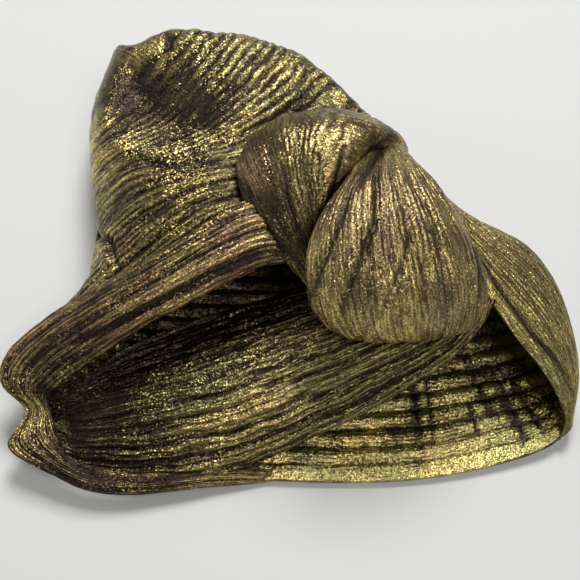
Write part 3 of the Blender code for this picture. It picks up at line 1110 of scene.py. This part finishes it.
def bundled_cloth(name, bundles, pitch, lay, creases, rows, seen_columns, hidden_columns):
    """A gathered bundle, closed all round and at both ends, fine where it is seen."""
    cage = bundle_cage(bundles)
    ring = cage.shape[1]
    seen = np.linspace(-SEEN_MARGIN, SEEN_STEPS + SEEN_MARGIN, seen_columns)
    hidden = np.linspace(SEEN_STEPS + SEEN_MARGIN, ring - SEEN_MARGIN, hidden_columns + 2)[1:-1]
    around_weights = spline_weights(ring, np.concatenate((seen, hidden)) % ring, closed=True)
    along_weights = spline_weights(len(bundles), even_places(cage[:, : SEEN_STEPS + 1], 0, rows))
    points = np.einsum("ri,ijk,cj->rck", along_weights, cage, around_weights)
    across, along = laid_fields(points, lay) if lay else even_fields(points)
    points, groove_shade = creased(points, creases)
    step_round = np.roll(points, -1, axis=1) - np.roll(points, 1, axis=1)
    normals = np.cross(np.gradient(points, axis=0), step_round)
    normals /= np.linalg.norm(normals, axis=2, keepdims=True).clip(1e-12)
    room = np.linalg.norm(np.diff(points[:, :seen_columns], axis=1), axis=2).sum(axis=1)
    fade = (room / room.mean()).clip(*LOOP_FADE_LIMITS)[:, None]
    index = np.arange(points.shape[0] * points.shape[1]).reshape(points.shape[:2])
    around = np.concatenate((index, index[:, :1]), axis=1)
    faces = quads_of(around).reshape(-1, 4).tolist()
    centres = []
    for row, order in ((0, 1), (-1, -1)):
        centre = index.size + len(centres)
        centres.append(points[row].mean(axis=0))
        border = around[row][::order]
        faces += [[int(a), int(b), centre] for a, b in zip(border[:-1], border[1:])]
    layers = {
        "phase": across / pitch,
        "split": split_of(points, across / pitch, pitch),
        "fade": np.broadcast_to(fade, points.shape[:2]),
        "along": along,
        "groove_shade": groove_shade,
        "across": across,
    }
    values = {
        layer: np.append(grid.ravel(), np.zeros(len(centres))) for layer, grid in layers.items()
    }
    values["face_out"] = np.concatenate((normals.reshape(-1, 3), np.zeros((len(centres), 3))))
    points = np.concatenate((points.reshape(-1, 3), centres))
    return cloth_object(name, points.tolist(), faces, **values)


# The two loops are of the same knit: the left one is given less gold as painted shade, and the
# right one more as painted light.
left_loop_knit = metallic_knit(
    "loop knit with painted shade", YELLOW_GOLD, COPPER_GOLD, glitter=0.2, tilt=0.45, gold_and_painted_light=0.8, even=0.25
)
right_loop_knit = metallic_knit(
    "loop knit with painted light", YELLOW_GOLD, BROWN_GOLD, glitter=0.25, tilt=0.5, gold_and_painted_light=1.4, even=0.35
)
LOOP_PITCH = 2.0 * MM
for name, bundles, lay, creases, loop_knit, seed in (
    ("left_loop", LEFT_LOOP_SECTIONS, LEFT_LOOP_LAY, LEFT_LOOP_CREASES, left_loop_knit, 6.0),
    ("right_loop", RIGHT_LOOP_SECTIONS, None, RIGHT_LOOP_CREASES, right_loop_knit, 7.0),
):
    loop = bundled_cloth(
        name + "_knit",
        bundles,
        LOOP_PITCH,
        lay,
        creases,
        rows=161,
        seen_columns=261,
        hidden_columns=60,
    )
    press(
        loop,
        loop_knit,
        pleat_depth=0.4 * MM,
        gather_depth=0.7 * MM,
        gather_pleats=3.7,
        wander=1.1,
        rib_depth=0.0,
        ribs_a_pleat=2.0,
        ruck_depth=0.08 * MM,
        ruck_spacing=1.5 * MM,
        crinkle_depth=0.35 * MM,
        crinkle_size=2.0 * MM,
        seed=seed,
    )
    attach(loop, "root")
    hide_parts(name)

# Table, lamps and camera: a pale table top under broad soft lamps, seen from over the
# mouth at the angle of the photograph.
TABLE_HALF = 1.5
TABLE_GAP = 0.3 * MM
TABLE_COLOUR = (0.75, 0.76, 0.765, 1)
TABLE_ROUGHNESS = 0.8
mesh = bpy.data.meshes.new("table_top")
corners = [(-1, -1), (1, -1), (1, 1), (-1, 1)]
mesh.from_pydata([(x * TABLE_HALF, y * TABLE_HALF, 0) for x, y in corners], [], [(0, 1, 2, 3)])
table_top = bpy.data.objects.new("table_top", mesh)
table_top.location.z = cad_low[2] - TABLE_GAP
bpy.context.scene.collection.objects.link(table_top)
paint = bpy.data.materials.new("pale table paint")
paint.use_nodes = True
paint_shader = paint.node_tree.nodes["Principled BSDF"]
paint_shader.inputs["Base Color"].default_value = TABLE_COLOUR
paint_shader.inputs["Roughness"].default_value = TABLE_ROUGHNESS
mesh.materials.append(paint)


def aim(thing, place, target):
    """Puts a lamp or a camera at a place and turns it to a target."""
    thing.location = place
    thing.rotation_mode = "QUATERNION"
    thing.rotation_quaternion = (Vector(target) - Vector(place)).to_track_quat("-Z", "Y")


# One lamp: its place and width in metres, its power in watts, and its colour.
Lamp = namedtuple("Lamp", "name place width power colour")
LAMP_TARGET = (0, 0.03, 0.03)
LAMPS = [
    Lamp("window", (0.20, 1.00, 1.50), 0.7, 25, (1.0, 0.99, 0.97)),
    Lamp("room", (0.35, -0.55, 1.05), 0.5, 4.5, (1.0, 0.98, 0.94)),
    Lamp("left_wall", (-0.90, 0.20, 0.30), 0.6, 1.9, (1.0, 0.98, 0.94)),
]
for row in LAMPS:
    light = bpy.data.lights.new(row.name, "AREA")
    light.energy = row.power
    light.size = row.width
    light.color = row.colour
    lamp = bpy.data.objects.new(row.name, light)
    bpy.context.scene.collection.objects.link(lamp)
    aim(lamp, row.place, LAMP_TARGET)

ROOM_COLOUR = (1.0, 0.99, 0.97, 1)
ROOM_STRENGTH = 0.11
world = bpy.data.worlds.new("room")
world.use_nodes = True
background = world.node_tree.nodes["Background"]
background.inputs["Color"].default_value = ROOM_COLOUR
background.inputs["Strength"].default_value = ROOM_STRENGTH
bpy.context.scene.world = world
bpy.context.scene.view_settings.view_transform = "Standard"

# The camera's distance from its target, and its lens and film width in millimetres.
VIEW_DISTANCE = 400 * MM
VIEW_TARGET = (0, 0, 30 * MM)
VIEW_LENS = 50
VIEW_FILM = 36
VIEW_NEAR = 0.01
view = bpy.data.cameras.new("view")
view.lens = VIEW_LENS
view.sensor_width = VIEW_FILM
view.clip_start = VIEW_NEAR
camera = bpy.data.objects.new("view", view)
bpy.context.scene.collection.objects.link(camera)
back = VIEW_TARGET[1] - VIEW_DISTANCE * math.cos(VIEW_ELEVATION)
up = VIEW_TARGET[2] + VIEW_DISTANCE * math.sin(VIEW_ELEVATION)
aim(camera, (0, back, up), VIEW_TARGET)
bpy.context.scene.camera = camera
